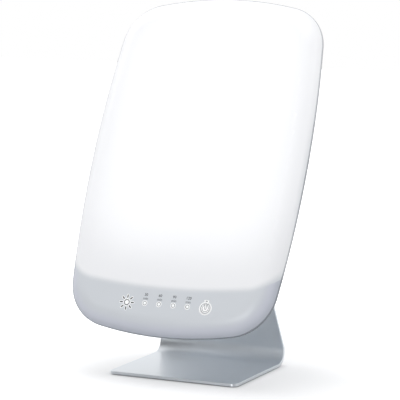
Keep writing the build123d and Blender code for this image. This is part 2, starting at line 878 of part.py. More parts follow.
# A foam strip along the tray's lower wall keeps light out of the control band.
baffle_top = under_seam(tray_above_seam - fit_gap)
baffle_bottom = under_seam(tray_above_seam - fit_gap - baffle_thickness)
with BuildPart() as light_baffle:
    with BuildSketch(head):
        add(baffle_top)
        add(baffle_bottom, mode=Mode.SUBTRACT)
        add(flat_outline, mode=Mode.INTERSECT)
    extrude(amount=front_inner - tongue_thickness - fit_gap)
save(light_baffle, "light_baffle")

# ================================================================ controls
control_board_spot = [(0, -control_row_drop)]
with BuildPart() as control_board:
    board_plane = head.offset(control_board_level)
    board_size = (control_board_width, control_board_height, board_thickness)
    blocks(board_plane, control_board_spot, *board_size)
    cylinders(
        board_plane,
        control_post_spots,
        small_screw_radius + fit_gap,
        board_thickness,
        Mode.SUBTRACT,
    )
save(control_board, "control_board")

with BuildPart() as control_board_screws:
    screws(
        head_back(control_board_level),
        control_post_spots,
        small_screw_head_radius,
        small_screw_head_height,
        small_screw_radius,
        small_screw_length,
    )
save(control_board_screws, "control_board_screws")

with BuildPart() as indicator_leds:
    board_face = head.offset(control_board_front)
    blocks(board_face, light_pipe_spots, indicator_size, indicator_size, indicator_height)
save(indicator_leds, "indicator_leds")

# Clear pipes carry the time lights from their LEDs to the face of the control band.
with BuildPart() as time_light_pipes:
    pipe_start = control_board_front + indicator_height + fit_gap
    pipe_length = front_depth - pipe_start
    cylinders(head.offset(pipe_start), light_pipe_spots, light_pipe_radius, pipe_length)
    cylinders(
        head.offset(front_inner - light_pipe_flange),
        light_pipe_spots,
        light_pipe_radius + light_pipe_rim,
        light_pipe_flange,
    )
save(time_light_pipes, "time_light_pipes")

switch_top = control_board_front + switch_height
plunger_top = switch_top + plunger_height
plunger_bottom = switch_top - plunger_engaged
with BuildPart() as button_switch:
    board_face = head.offset(control_board_front)
    blocks(board_face, button_spot, switch_size, switch_size, switch_height)
    bore_depth = plunger_engaged + button_travel + fit_gap
    cylinders(
        head.offset(switch_top),
        button_spot,
        plunger_radius + running_gap,
        -bore_depth,
        Mode.SUBTRACT,
    )
save(button_switch, "button_switch")

with BuildPart() as switch_plunger:
    plunger_length = plunger_top - plunger_bottom
    cylinders(head.offset(plunger_bottom), button_spot, plunger_radius, plunger_length)
save(switch_plunger, "switch_plunger")

flange_top = front_inner - button_rest_gap
flange_bottom = flange_top - button_flange
with BuildPart() as power_button:
    cap_height = front_depth + button_proud - flange_top
    cylinders(head.offset(flange_top), button_spot, button_radius, cap_height)
    cap_face = power_button.faces().sort_by(Axis(head.origin, head.z_dir))[-1]
    fillet(cap_face.edges(), button_edge_round)
    flange_radius = button_radius + button_rim
    cylinders(head.offset(flange_bottom), button_spot, flange_radius, button_flange)
    cylinders(head.offset(plunger_top), button_spot, stem_radius, flange_bottom - plunger_top)
save(power_button, "power_button")

with BuildPart() as control_connector:
    connector_size = ribbon_connector
    blocks(head_back(control_board_level), control_board_spot, *connector_size)
save(control_connector, "control_connector")

# ================================================================ driver
driver_plane = head.offset(driver_board_front)


def on_driver(spots):
    """Spots on the driver board, moved to the head's own axes."""
    return [(across, driver_up + up) for across, up in spots]


with BuildPart() as driver_board:
    driver_size = (driver_width, driver_height, board_thickness)
    blocks(head.offset(driver_board_back), [(0, driver_up)], *driver_size)
    cylinders(
        head.offset(driver_board_back),
        driver_screw_spots,
        small_screw_radius + fit_gap,
        board_thickness,
        Mode.SUBTRACT,
    )
save(driver_board, "driver_board")

with BuildPart() as driver_screws:
    screws(
        driver_plane,
        driver_screw_spots,
        small_screw_head_radius,
        small_screw_head_height,
        small_screw_radius,
        small_screw_length,
    )
save(driver_screws, "driver_screws")

with BuildPart() as driver_inductors:
    cylinders(driver_plane, on_driver(inductor_spots), inductor_radius, inductor_height)
    with BuildSketch(driver_plane.offset(inductor_flange)):
        with Locations(*on_driver(inductor_spots)):
            Circle(inductor_radius + fit_gap)
            Circle(inductor_radius - inductor_waist, mode=Mode.SUBTRACT)
    extrude(amount=inductor_height - 2 * inductor_flange, mode=Mode.SUBTRACT)
save(driver_inductors, "driver_inductors")

with BuildPart() as driver_capacitors:
    cylinders(driver_plane, on_driver(capacitor_spots), capacitor_radius, capacitor_height)
    can_tops = driver_capacitors.faces().sort_by(Axis(head.origin, head.z_dir))
    fillet(can_tops[-len(capacitor_spots):].edges(), capacitor_top_round)
save(driver_capacitors, "driver_capacitors")

with BuildPart() as driver_chips:
    blocks(driver_plane, on_driver(chip_spots), chip_size, chip_size, chip_height)
save(driver_chips, "driver_chips")

with BuildPart() as driver_heatsink:
    sink_spot = on_driver([heatsink_spot])
    blocks(driver_plane, sink_spot, heatsink_width, heatsink_height, heatsink_base)
    fin_pitch = (heatsink_width - fin_thickness) / (heatsink_fins - 1)
    with BuildSketch(driver_plane.offset(heatsink_base)):
        with Locations(*sink_spot):
            with GridLocations(fin_pitch, 0, heatsink_fins, 1):
                Rectangle(fin_thickness, heatsink_height)
    extrude(amount=fin_height)
save(driver_heatsink, "driver_heatsink")

with BuildPart() as driver_connectors:
    across = (inlet_connector_across, ribbon_connector_across, light_connector_across)
    for middle, width in zip(across, (connector_width, ribbon_connector[0], connector_width)):
        socket_spot = on_driver([(middle, connector_row)])
        blocks(driver_plane, socket_spot, width, connector_depth, connector_height)
save(driver_connectors, "driver_connectors")

# Cable exits are on the connectors' lower faces.
connector_exit = driver_up + connector_row - connector_depth / 2
with BuildPart() as control_cable:
    with BuildSketch(head_side):
        with BuildLine():
            ribbon_path = FilletPolyline(
                (connector_exit, ribbon_level),
                (-control_row_drop, ribbon_level),
                (-control_row_drop, control_board_level - ribbon_connector[2]),
                radius=ribbon_bend,
            )
        trace(line_width=ribbon_thickness)
    extrude(amount=ribbon_width / 2, both=True)
save(control_cable, "control_cable")

with BuildPart() as light_leads:
    for offset_x in (-wire_spacing / 2, wire_spacing / 2):
        across = light_connector_across + offset_x
        lead_points = (
            (across, connector_exit, lead_level),
            (across, lead_strip_row, lead_level),
            (across, lead_strip_row, tray_floor),
        )
        wire(lead_points, wire_bend)
save(light_leads, "light_leads")

# ================================================================ power inlet
# A round low-voltage socket in the back of the housing, held by its flange and a nut.
inlet_spot = [(inlet_across, -inlet_drop)]
inlet_length = rear_depth - inlet_depth
with BuildPart() as inlet_socket:
    cylinders(
        head.offset(-rear_depth - inlet_flange), inlet_spot, inlet_flange_radius, inlet_flange
    )
    cylinders(head.offset(-rear_depth), inlet_spot, inlet_radius, inlet_length)
    bore_length = inlet_flange + inlet_length - inlet_bore_floor
    cylinders(
        head.offset(-rear_depth - inlet_flange),
        inlet_spot,
        inlet_bore_radius,
        bore_length,
        Mode.SUBTRACT,
    )
save(inlet_socket, "inlet_socket")

with BuildPart() as inlet_contact:
    contact_start = -inlet_depth - inlet_bore_floor
    contact_length = rear_depth + contact_start
    cylinders(head.offset(contact_start), inlet_spot, inlet_pin_radius, -contact_length)
    contact_tip = inlet_contact.faces().sort_by(Axis(head.origin, head.z_dir))[0]
    fillet(contact_tip.edges(), inlet_pin_round)
save(inlet_contact, "inlet_contact")

with BuildPart() as inlet_nut:
    with BuildSketch(head.offset(rear_inner)):
        with Locations(*inlet_spot):
            RegularPolygon(inlet_nut_flats / 2, 6, major_radius=False)
            Circle(inlet_radius, mode=Mode.SUBTRACT)
    extrude(amount=inlet_nut_height)
save(inlet_nut, "inlet_nut")

with BuildPart() as inlet_leads:
    inlet_turn_row = connector_exit - inlet_turn_drop
    for offset_x in (-wire_spacing / 2, wire_spacing / 2):
        across = inlet_across + offset_x
        connector_across = inlet_connector_across + offset_x
        lead_points = (
            (across, -inlet_drop, -inlet_depth),
            (across, -inlet_drop, lead_clear_level),
            (across, inlet_turn_row, lead_clear_level),
            (connector_across, connector_exit - lead_run_in, lead_level),
            (connector_across, connector_exit, lead_level),
        )
        wire(lead_points, wire_bend)
save(inlet_leads, "inlet_leads")
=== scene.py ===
"""Light therapy lamp: a domed light panel that leans back on a bent aluminium plate.

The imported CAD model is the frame. Each sub-assembly keeps the CAD nodes whose shape is right,
builds the pieces that need a finer shape or a print, and dresses all of them.
"""
import json
import logging
import math
from collections.abc import Callable
from dataclasses import dataclass, field
from enum import Enum

import bmesh
import bpy
from bmesh.types import BMEdge, BMesh, BMVert
from bpy.types import Material, Node, NodeSocket, NodeTree, Object
from mathutils import Matrix, Vector


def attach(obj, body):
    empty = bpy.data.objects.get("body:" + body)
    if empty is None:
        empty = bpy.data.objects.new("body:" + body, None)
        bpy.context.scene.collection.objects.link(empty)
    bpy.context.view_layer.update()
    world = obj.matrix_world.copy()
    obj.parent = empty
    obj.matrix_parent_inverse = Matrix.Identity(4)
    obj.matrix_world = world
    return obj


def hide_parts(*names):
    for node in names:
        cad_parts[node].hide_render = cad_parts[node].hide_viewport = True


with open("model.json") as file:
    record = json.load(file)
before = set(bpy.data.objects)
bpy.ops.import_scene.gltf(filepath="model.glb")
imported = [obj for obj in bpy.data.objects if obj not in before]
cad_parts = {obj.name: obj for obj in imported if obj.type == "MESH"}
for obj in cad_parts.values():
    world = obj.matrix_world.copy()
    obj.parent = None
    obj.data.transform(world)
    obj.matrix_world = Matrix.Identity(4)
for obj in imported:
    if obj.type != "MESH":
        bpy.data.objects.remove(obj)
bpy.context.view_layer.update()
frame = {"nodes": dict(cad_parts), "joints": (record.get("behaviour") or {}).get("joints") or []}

LOG = logging.getLogger("light_therapy_lamp")
MM = 0.001
WELD_WITHIN = 0.002 * MM
QUARTER_TURN = 0.25


# ---------------------------------------------------------------- small helpers
def linear(colour: str) -> tuple[float, float, float, float]:
    """Turn an sRGB hex colour into linear RGBA.

    Args:
        colour: six hex digits after a #.

    Returns:
        The colour as a shader socket takes it.
    """
    channels = [int(colour[i:i + 2], 16) / 255 for i in (1, 3, 5)]
    red, green, blue = (
        c / 12.92 if c <= 0.04045 else ((c + 0.055) / 1.055) ** 2.4 for c in channels)
    return red, green, blue, 1.0


def per_metre(size_mm: float) -> float:
    """The scale of a pattern whose features are this many millimetres across."""
    return 1.0 / (size_mm * MM)


def add(
    tree: NodeTree, kind: str, settings: dict | None = None, inputs: dict | None = None
) -> Node:
    """Add a shader node with its settings and links.

    Args:
        tree: the node tree that it goes into.
        kind: its type, without the word ShaderNode.
        settings: values for the node's own properties.
        inputs: a value, or an output socket to link, for each input by name or number.

    Returns:
        The new node.
    """
    node = tree.nodes.new("ShaderNode" + kind)
    for name, value in (settings or {}).items():
        setattr(node, name, value)
    for name, value in (inputs or {}).items():
        if isinstance(value, NodeSocket):
            tree.links.new(value, node.inputs[name])
        else:
            node.inputs[name].default_value = value
    return node


def new_material(name: str, **shader: object) -> tuple[Material, NodeTree, Node]:
    """Start a material from one Principled shader.

    Args:
        name: the material's name.
        shader: socket values, with _ for each space in a socket's name.

    Returns:
        The material, its node tree and its Principled node.
    """
    material = bpy.data.materials.new(name)
    material.use_nodes = True
    tree = material.node_tree
    tree.nodes.clear()
    principled = add(
        tree, "BsdfPrincipled", inputs={k.replace("_", " "): v for k, v in shader.items()})
    add(tree, "OutputMaterial", inputs={"Surface": principled.outputs[0]})
    return material, tree, principled


def connect(tree: NodeTree, shader: Node, **outputs: NodeSocket) -> None:
    """Link outputs to a shader's sockets, with _ for each space in a socket's name."""
    for name, output in outputs.items():
        tree.links.new(output, shader.inputs[name.replace("_", " ")])


# ---------------------------------------------------------------- frames
@dataclass(frozen=True)
class HeadFrame:
    """The head's own axes: u to the right, v up the head, w out of its front, from the rim plane."""

    lean: float = math.radians(25.3)
    above_hinge: float = 58.7 * MM
    before_hinge: float = 42.0 * MM

    @property
    def turn(self) -> Matrix:
        """Rotation from the head's axes to the row frame."""
        return Matrix.Rotation(math.pi / 2 - self.lean, 4, "X")

    @property
    def origin(self) -> Vector:
        """The middle of the rim plane, found from the tilt joint's axis."""
        hinge = next(Vector(j["pos_m"]) for j in frame["joints"] if j["name"] == "head_tilt")
        return hinge + self.turn @ Vector((0, self.above_hinge, self.before_hinge))

    def place(self, u: float = 0.0, v: float = 0.0, w: float = 0.0) -> Matrix:
        """The matrix that takes millimetres about a point of the head to the row frame."""
        return (
            Matrix.Translation(self.origin) @ self.turn
            @ Matrix.Scale(MM, 4) @ Matrix.Translation((u, v, w))
        )

    def axes(self, tree: NodeTree) -> Node:
        """Nodes that give a shader the head's u, v and w in metres.

        Args:
            tree: the node tree that they go into.

        Returns:
            A Separate XYZ node whose outputs are u, v and w.
        """
        back = self.turn.inverted()
        where = add(tree, "TexCoord").outputs["Object"]
        turned = add(tree, "Mapping", {"vector_type": "POINT"}, {
            "Vector": where,
            "Rotation": back.to_euler(),
            "Location": -(back @ self.origin),
        })
        return add(tree, "SeparateXYZ", inputs={0: turned.outputs[0]})


@dataclass(frozen=True)
class Seam:
    """The seam between light surface and control band: a shallow arc whose ends turn up."""

    drop: float = 201.3 * MM
    reach: float = 182.0 * MM
    sag: float = 16.0 * MM
    corner: float = 52.0 * MM
    fade: tuple[float, float] = (-6.5 * MM, 6.5 * MM)

    def above(self, tree: NodeTree, head: Node) -> NodeSocket:
        """Nodes that give the distance above the seam in metres, at most the corners' radius.

        Args:
            tree: the node tree that they go into.
            head: the node that gives u, v and w.

        Returns:
            The output socket with that distance.
        """
        found = {"across": head.outputs[0], "up": head.outputs[1]}
        for result, operation, first, second in (
            ("aside", "ABSOLUTE", "across", 0.0),
            ("past_corner", "SUBTRACT", "aside", self.reach - self.corner),
            ("past_corner", "MAXIMUM", "past_corner", 0.0),
            ("square", "MULTIPLY", "across", "across"),
            ("bow", "MULTIPLY", "square", self.sag / self.reach ** 2),
            ("level", "ADD", "bow", self.corner - self.drop),
            ("below_corner", "SUBTRACT", "level", "up"),
            ("below_corner", "MAXIMUM", "below_corner", 0.0),
        ):
            terms = {0: found.get(first, first), 1: found.get(second, second)}
            found[result] = add(tree, "Math", {"operation": operation}, terms).outputs[0]
        offset = add(tree, "CombineXYZ", inputs={0: found["past_corner"], 1: found["below_corner"]})
        length = add(tree, "VectorMath", {"operation": "LENGTH"}, {0: offset.outputs[0]})
        return add(tree, "Math", {"operation": "SUBTRACT"}, {
            0: self.corner, 1: length.outputs["Value"]}).outputs[0]

    def light_share(self, tree: NodeTree, head: Node) -> NodeSocket:
        """Nodes that run from 0 in the control band to 1 in the light surface, soft at the seam."""
        return add(tree, "MapRange", {"interpolation_type": "SMOOTHSTEP"}, {
            "Value": self.above(tree, head),
            "From Min": self.fade[0], "From Max": self.fade[1],
        }).outputs[0]


HEAD = HeadFrame()
SEAM = Seam()


# ---------------------------------------------------------------- finishes
class Grain(Enum):
    """Which way a metal's finishing lines run."""

    ACROSS = (0.02, 1.0, 1.0)
    ALONG = (1.0, 0.02, 0.02)
    BLASTED = (1.0, 1.0, 1.0)


@dataclass(frozen=True)
class Moulded:
    """Moulded plastic, rubber or foam: a fine mould texture and a slow drift in its colour."""

    name: str
    colour: str
    drift: str
    roughness: float = 0.45
    grain: float = 0.6
    relief: float = 0.02
    patch: float = 30.0
    ior: float = 1.5
    coat: float = 0.0
    uneven: float = 0.15

    def build(self) -> Material:
        """Make the material.

        Returns:
            The new material.
        """
        material, tree, shader = new_material(self.name, IOR=self.ior, Coat_Weight=self.coat)
        where = add(tree, "TexCoord").outputs["Object"]
        texture = add(tree, "TexNoise", inputs={
            "Vector": where, "Scale": per_metre(self.grain), "Detail": 2.0, "Roughness": 0.6})
        clouds = add(tree, "TexNoise", inputs={"Vector": where, "Scale": per_metre(self.patch)})
        colour = add(tree, "Mix", {"data_type": "RGBA"}, {
            0: clouds.outputs["Fac"], 6: linear(self.colour), 7: linear(self.drift)})
        rough = add(tree, "MapRange", inputs={
            "Value": texture.outputs["Fac"],
            "To Min": self.roughness * (1 - self.uneven),
            "To Max": min(1.0, self.roughness * (1 + self.uneven))})
        bump = add(tree, "Bump", inputs={
            "Height": texture.outputs["Fac"], "Distance": self.relief * MM, "Strength": 0.6})
        connect(
            tree, shader, Base_Color=colour.outputs[2], Roughness=rough.outputs[0],
            Normal=bump.outputs[0])
        return material


@dataclass(frozen=True)
class WorkedMetal:
    """Brushed, drawn or blasted metal: fine lines in its roughness and relief, slow cloudy tone."""

    name: str
    colour: str
    drift: str
    roughness: float = 0.35
    spread: float = 0.08
    grain: Grain = Grain.BLASTED
    spacing: float = 0.4
    relief: float = 0.01
    patch: float = 60.0
    anisotropy: float = 0.0
    contrast: float = 0.06
    line_range: tuple[float, float] = (0.3, 0.7)

    def build(self) -> Material:
        """Make the material.

        Returns:
            The new material.
        """
        material, tree, shader = new_material(
            self.name, Metallic=1.0, Anisotropic=self.anisotropy, Anisotropic_Rotation=QUARTER_TURN)
        # Brushed lines run along X, so highlights spread at right angles to it.
        tree.links.new(add(tree, "CombineXYZ", inputs={0: 1.0}).outputs[0], shader.inputs["Tangent"])
        where = add(tree, "TexCoord").outputs["Object"]
        stretched = add(tree, "Mapping", inputs={"Vector": where, "Scale": self.grain.value})
        lines = add(tree, "TexNoise", inputs={
            "Vector": stretched.outputs[0], "Scale": per_metre(self.spacing),
            "Detail": 4.0, "Roughness": 0.7})
        clouds = add(tree, "TexNoise", inputs={
            "Vector": where, "Scale": per_metre(self.patch), "Detail": 3.0})
        tone = add(tree, "Mix", {"data_type": "RGBA"}, {
            0: clouds.outputs["Fac"], 6: linear(self.colour), 7: linear(self.drift)})
        streak = add(tree, "MapRange", inputs={
            "Value": lines.outputs["Fac"], "To Min": 1 - self.contrast, "To Max": 1 + self.contrast})
        colour = add(tree, "VectorMath", {"operation": "SCALE"}, {
            0: tone.outputs[2], "Scale": streak.outputs[0]})
        rough = add(tree, "MapRange", inputs={
            "Value": lines.outputs["Fac"],
            "From Min": self.line_range[0], "From Max": self.line_range[1],
            "To Min": self.roughness - self.spread / 2, "To Max": self.roughness + self.spread / 2})
        bump = add(tree, "Bump", inputs={
            "Height": lines.outputs["Fac"], "Distance": self.relief * MM, "Strength": 0.5})
        connect(
            tree, shader, Base_Color=colour.outputs[0], Roughness=rough.outputs[0],
            Normal=bump.outputs[0])
        return material


@dataclass(frozen=True)
class OpalLight:
    """Opal acrylic with the lamp on: milky white that glows in the middle and fades to the rim."""

    name: str = "opal_acrylic_lit"
    colour: str = "#cacbce"
    band: str = "#ccd0d5"
    glow: str = "#ffffff"
    strength: float = 0.385
    rest: float = 0.225
    middle: tuple[float, float] = (3.5, 65.0)
    half: tuple[float, float] = (123.5, 157.0)
    fall: tuple[float, float] = (1.0, 1.65)
    roundness: float = 4.0
    film_patch: float = 45.0
    film_wobble: float = 0.02
    roughness: float = 0.42

    def build(self) -> Material:
        """Make the material.

        Returns:
            The new material.
        """
        material, tree, shader = new_material(
            self.name, IOR=1.49, Roughness=self.roughness, Emission_Color=linear(self.glow))
        head = HEAD.axes(tree)
        # The LEDs light a rounded field: a superellipse round their middle.
        terms = []
        for axis in (0, 1):
            value = head.outputs[axis]
            for operation, by in (
                ("SUBTRACT", self.middle[axis] * MM), ("DIVIDE", self.half[axis] * MM),
                ("ABSOLUTE", 0.0), ("POWER", self.roundness),
            ):
                value = add(tree, "Math", {"operation": operation}, {0: value, 1: by}).outputs[0]
            terms.append(value)
        total = add(tree, "Math", {"operation": "ADD"}, {0: terms[0], 1: terms[1]})
        field_edge = add(tree, "Math", {"operation": "POWER"}, {
            0: total.outputs[0], 1: 1 / self.roundness})
        # Tiny unevenness of the film behind the surface keeps the glow from being perfectly flat.
        where = add(tree, "TexCoord").outputs["Object"]
        film = add(tree, "TexNoise", inputs={"Vector": where, "Scale": per_metre(self.film_patch)})
        wobble = add(tree, "MapRange", inputs={
            "Value": film.outputs["Fac"], "To Min": -self.film_wobble, "To Max": self.film_wobble})
        reach = add(tree, "Math", {"operation": "ADD"}, {
            0: field_edge.outputs[0], 1: wobble.outputs[0]})
        strength = add(tree, "MapRange", {"interpolation_type": "SMOOTHSTEP"}, {
            "Value": reach.outputs[0],
            "From Min": self.fall[0], "From Max": self.fall[1],
            "To Min": self.strength, "To Max": self.rest})
        # The band's silver shows through the lowest few millimetres, and no light comes through.
        lit = SEAM.light_share(tree, head)
        faded = add(tree, "Math", {"operation": "MULTIPLY"}, {0: strength.outputs[0], 1: lit})
        colour = add(tree, "Mix", {"data_type": "RGBA"}, {
            0: lit, 6: linear(self.band), 7: linear(self.colour)})
        connect(tree, shader, Base_Color=colour.outputs[2], Emission_Strength=faded.outputs[0])
        return material


@dataclass(frozen=True)
class SilverLacquer:
    """ABS sprayed with fine silver lacquer, whose upper edge fades to the light surface's white, with
    painted shade where it curves back to the sides and underneath.
    """

    name: str = "silver_lacquered_abs"
    colour: str = "#ccd0d5"
    # Painted shade: side_shade on the sides, and the darker low colour underneath, where less light
    # falls.
    side_shade: str = "#c9ccd6"
    low: str = "#b9bdc7"
    light: str = "#cacbce"
    glow: float = 0.225
    roughness: float = 0.40
    spread: float = 0.05
    flake: float = 0.5
    sparkle: float = 0.03
    # Where the painted shade on the sides and underneath begins and becomes full, as the surface
    # curves back towards the rim plane.
    side: tuple[float, float] = (20.2 * MM, 12.0 * MM)
    underside_shade_span: tuple[float, float] = (14.0 * MM, 3.0 * MM)

    def build(self) -> Material:
        """Make the material.

        Returns:
            The new material.
        """
        material, tree, shader = new_material(
            self.name, IOR=1.5, Metallic=0.05, Emission_Color=linear("#ffffff"))
        head = HEAD.axes(tree)
        where = add(tree, "TexCoord").outputs["Object"]
        flakes = add(tree, "TexNoise", inputs={
            "Vector": where, "Scale": per_metre(self.flake), "Detail": 2.0})
        lit = SEAM.light_share(tree, head)
        glow = add(tree, "Math", {"operation": "MULTIPLY"}, {0: lit, 1: self.glow})
        # Painted shade: darker as the surface curves back to the sides, darker still underneath.
        turned = add(tree, "MapRange", {"interpolation_type": "SMOOTHSTEP"}, {
            "Value": head.outputs[2], "From Min": self.side[0], "From Max": self.side[1]})
        under = add(tree, "MapRange", {"interpolation_type": "SMOOTHSTEP"}, {
            "Value": head.outputs[2],
            "From Min": self.underside_shade_span[0], "From Max": self.underside_shade_span[1]})
        shade = linear(self.colour)
        for share, tone in (
            (turned.outputs[0], self.side_shade), (under.outputs[0], self.low), (lit, self.light),
        ):
            shade = add(tree, "Mix", {"data_type": "RGBA"}, {
                0: share, 6: shade, 7: linear(tone)}).outputs[2]
        sparkle = add(tree, "MapRange", inputs={
            "Value": flakes.outputs["Fac"], "To Min": 1 - self.sparkle, "To Max": 1 + self.sparkle})
        colour = add(tree, "VectorMath", {"operation": "SCALE"}, {
            0: shade, "Scale": sparkle.outputs[0]})
        rough = add(tree, "MapRange", inputs={
            "Value": flakes.outputs["Fac"],
            "To Min": self.roughness - self.spread, "To Max": self.roughness + self.spread})
        connect(
            tree, shader, Base_Color=colour.outputs[0], Roughness=rough.outputs[0],
            Emission_Strength=glow.outputs[0])
        return material


@dataclass(frozen=True)
class CircuitBoard:
    """Glass-fibre board under solder mask, with the copper tracks just raised beneath it."""

    name: str
    mask: str
    track: str
    pitch: float = 2.5
    edge: tuple[float, float] = (0.10, 0.14)
    relief: float = 0.03
    roughness: tuple[float, float] = (0.3, 0.4)
    coat: float = 0.3

    def build(self) -> Material:
        """Make the material.

        Returns:
            The new material.
        """
        material, tree, shader = new_material(self.name, IOR=1.55, Coat_Weight=self.coat)
        where = add(tree, "TexCoord").outputs["Object"]
        cells = add(tree, "TexVoronoi", {"feature": "DISTANCE_TO_EDGE", "distance": "EUCLIDEAN"}, {
            "Vector": where, "Scale": per_metre(self.pitch * 2)})
        track = add(tree, "MapRange", inputs={
            "Value": cells.outputs["Distance"], "From Min": self.edge[0], "From Max": self.edge[1]})
        colour = add(tree, "Mix", {"data_type": "RGBA"}, {
            0: track.outputs[0], 6: linear(self.track), 7: linear(self.mask)})
        rough = add(tree, "MapRange", inputs={
            "Value": track.outputs[0],
            "To Min": self.roughness[0], "To Max": self.roughness[1]})
        bump = add(tree, "Bump", {"invert": True}, {
            "Height": track.outputs[0], "Distance": self.relief * MM, "Strength": 0.5})
        connect(
            tree, shader, Base_Color=colour.outputs[2], Roughness=rough.outputs[0],
            Normal=bump.outputs[0])
        return material


@dataclass(frozen=True)
class Glowing:
    """Clear or tinted resin over a light: it glows and its surface is slightly uneven."""

    name: str
    colour: str
    glow: str
    strength: float
    grain: float = 0.8
    patchy: float = 0.15
    roughness: float = 0.25
    uneven: float = 0.2

    def build(self) -> Material:
        """Make the material.

        Returns:
            The new material.
        """
        material, tree, shader = new_material(
            self.name, IOR=1.49, Base_Color=linear(self.colour), Emission_Color=linear(self.glow))
        where = add(tree, "TexCoord").outputs["Object"]
        cloud = add(tree, "TexNoise", inputs={"Vector": where, "Scale": per_metre(self.grain)})
        power = add(tree, "MapRange", inputs={
            "Value": cloud.outputs["Fac"],
            "To Min": self.strength * (1 - self.patchy),
            "To Max": self.strength * (1 + self.patchy)})
        rough = add(tree, "MapRange", inputs={
            "Value": cloud.outputs["Fac"],
            "To Min": self.roughness * (1 - self.uneven),
            "To Max": self.roughness * (1 + self.uneven)})
        connect(tree, shader, Emission_Strength=power.outputs[0], Roughness=rough.outputs[0])
        return material


Finish = Moulded | WorkedMetal | OpalLight | SilverLacquer | CircuitBoard | Glowing

# A screen-printed film is dull, with a surface that is almost flat.
PRINTED = {"roughness": 0.5, "grain": 0.25, "relief": 0.004}


class Ink(Enum):
    """The screen-printing inks on the control band: flat, dull colour in a film of its own."""

    GREY = Moulded("grey_screen_print", "#43464b", "#4c4f54", **PRINTED)
    PALE = Moulded("pale_grey_screen_print", "#6f7379", "#777b81", **PRINTED)
    WHITE = Moulded("white_screen_print", "#f4f5f6", "#fbfbfb", **PRINTED)


# Polyester foil, coated silver and bare of print: smooth, with a soft even sheen.
PLATE_FOIL = Moulded(
    "silver_polyester_foil", "#c3c6ca", "#bcbfc4", roughness=0.35, grain=0.3, relief=0.004)

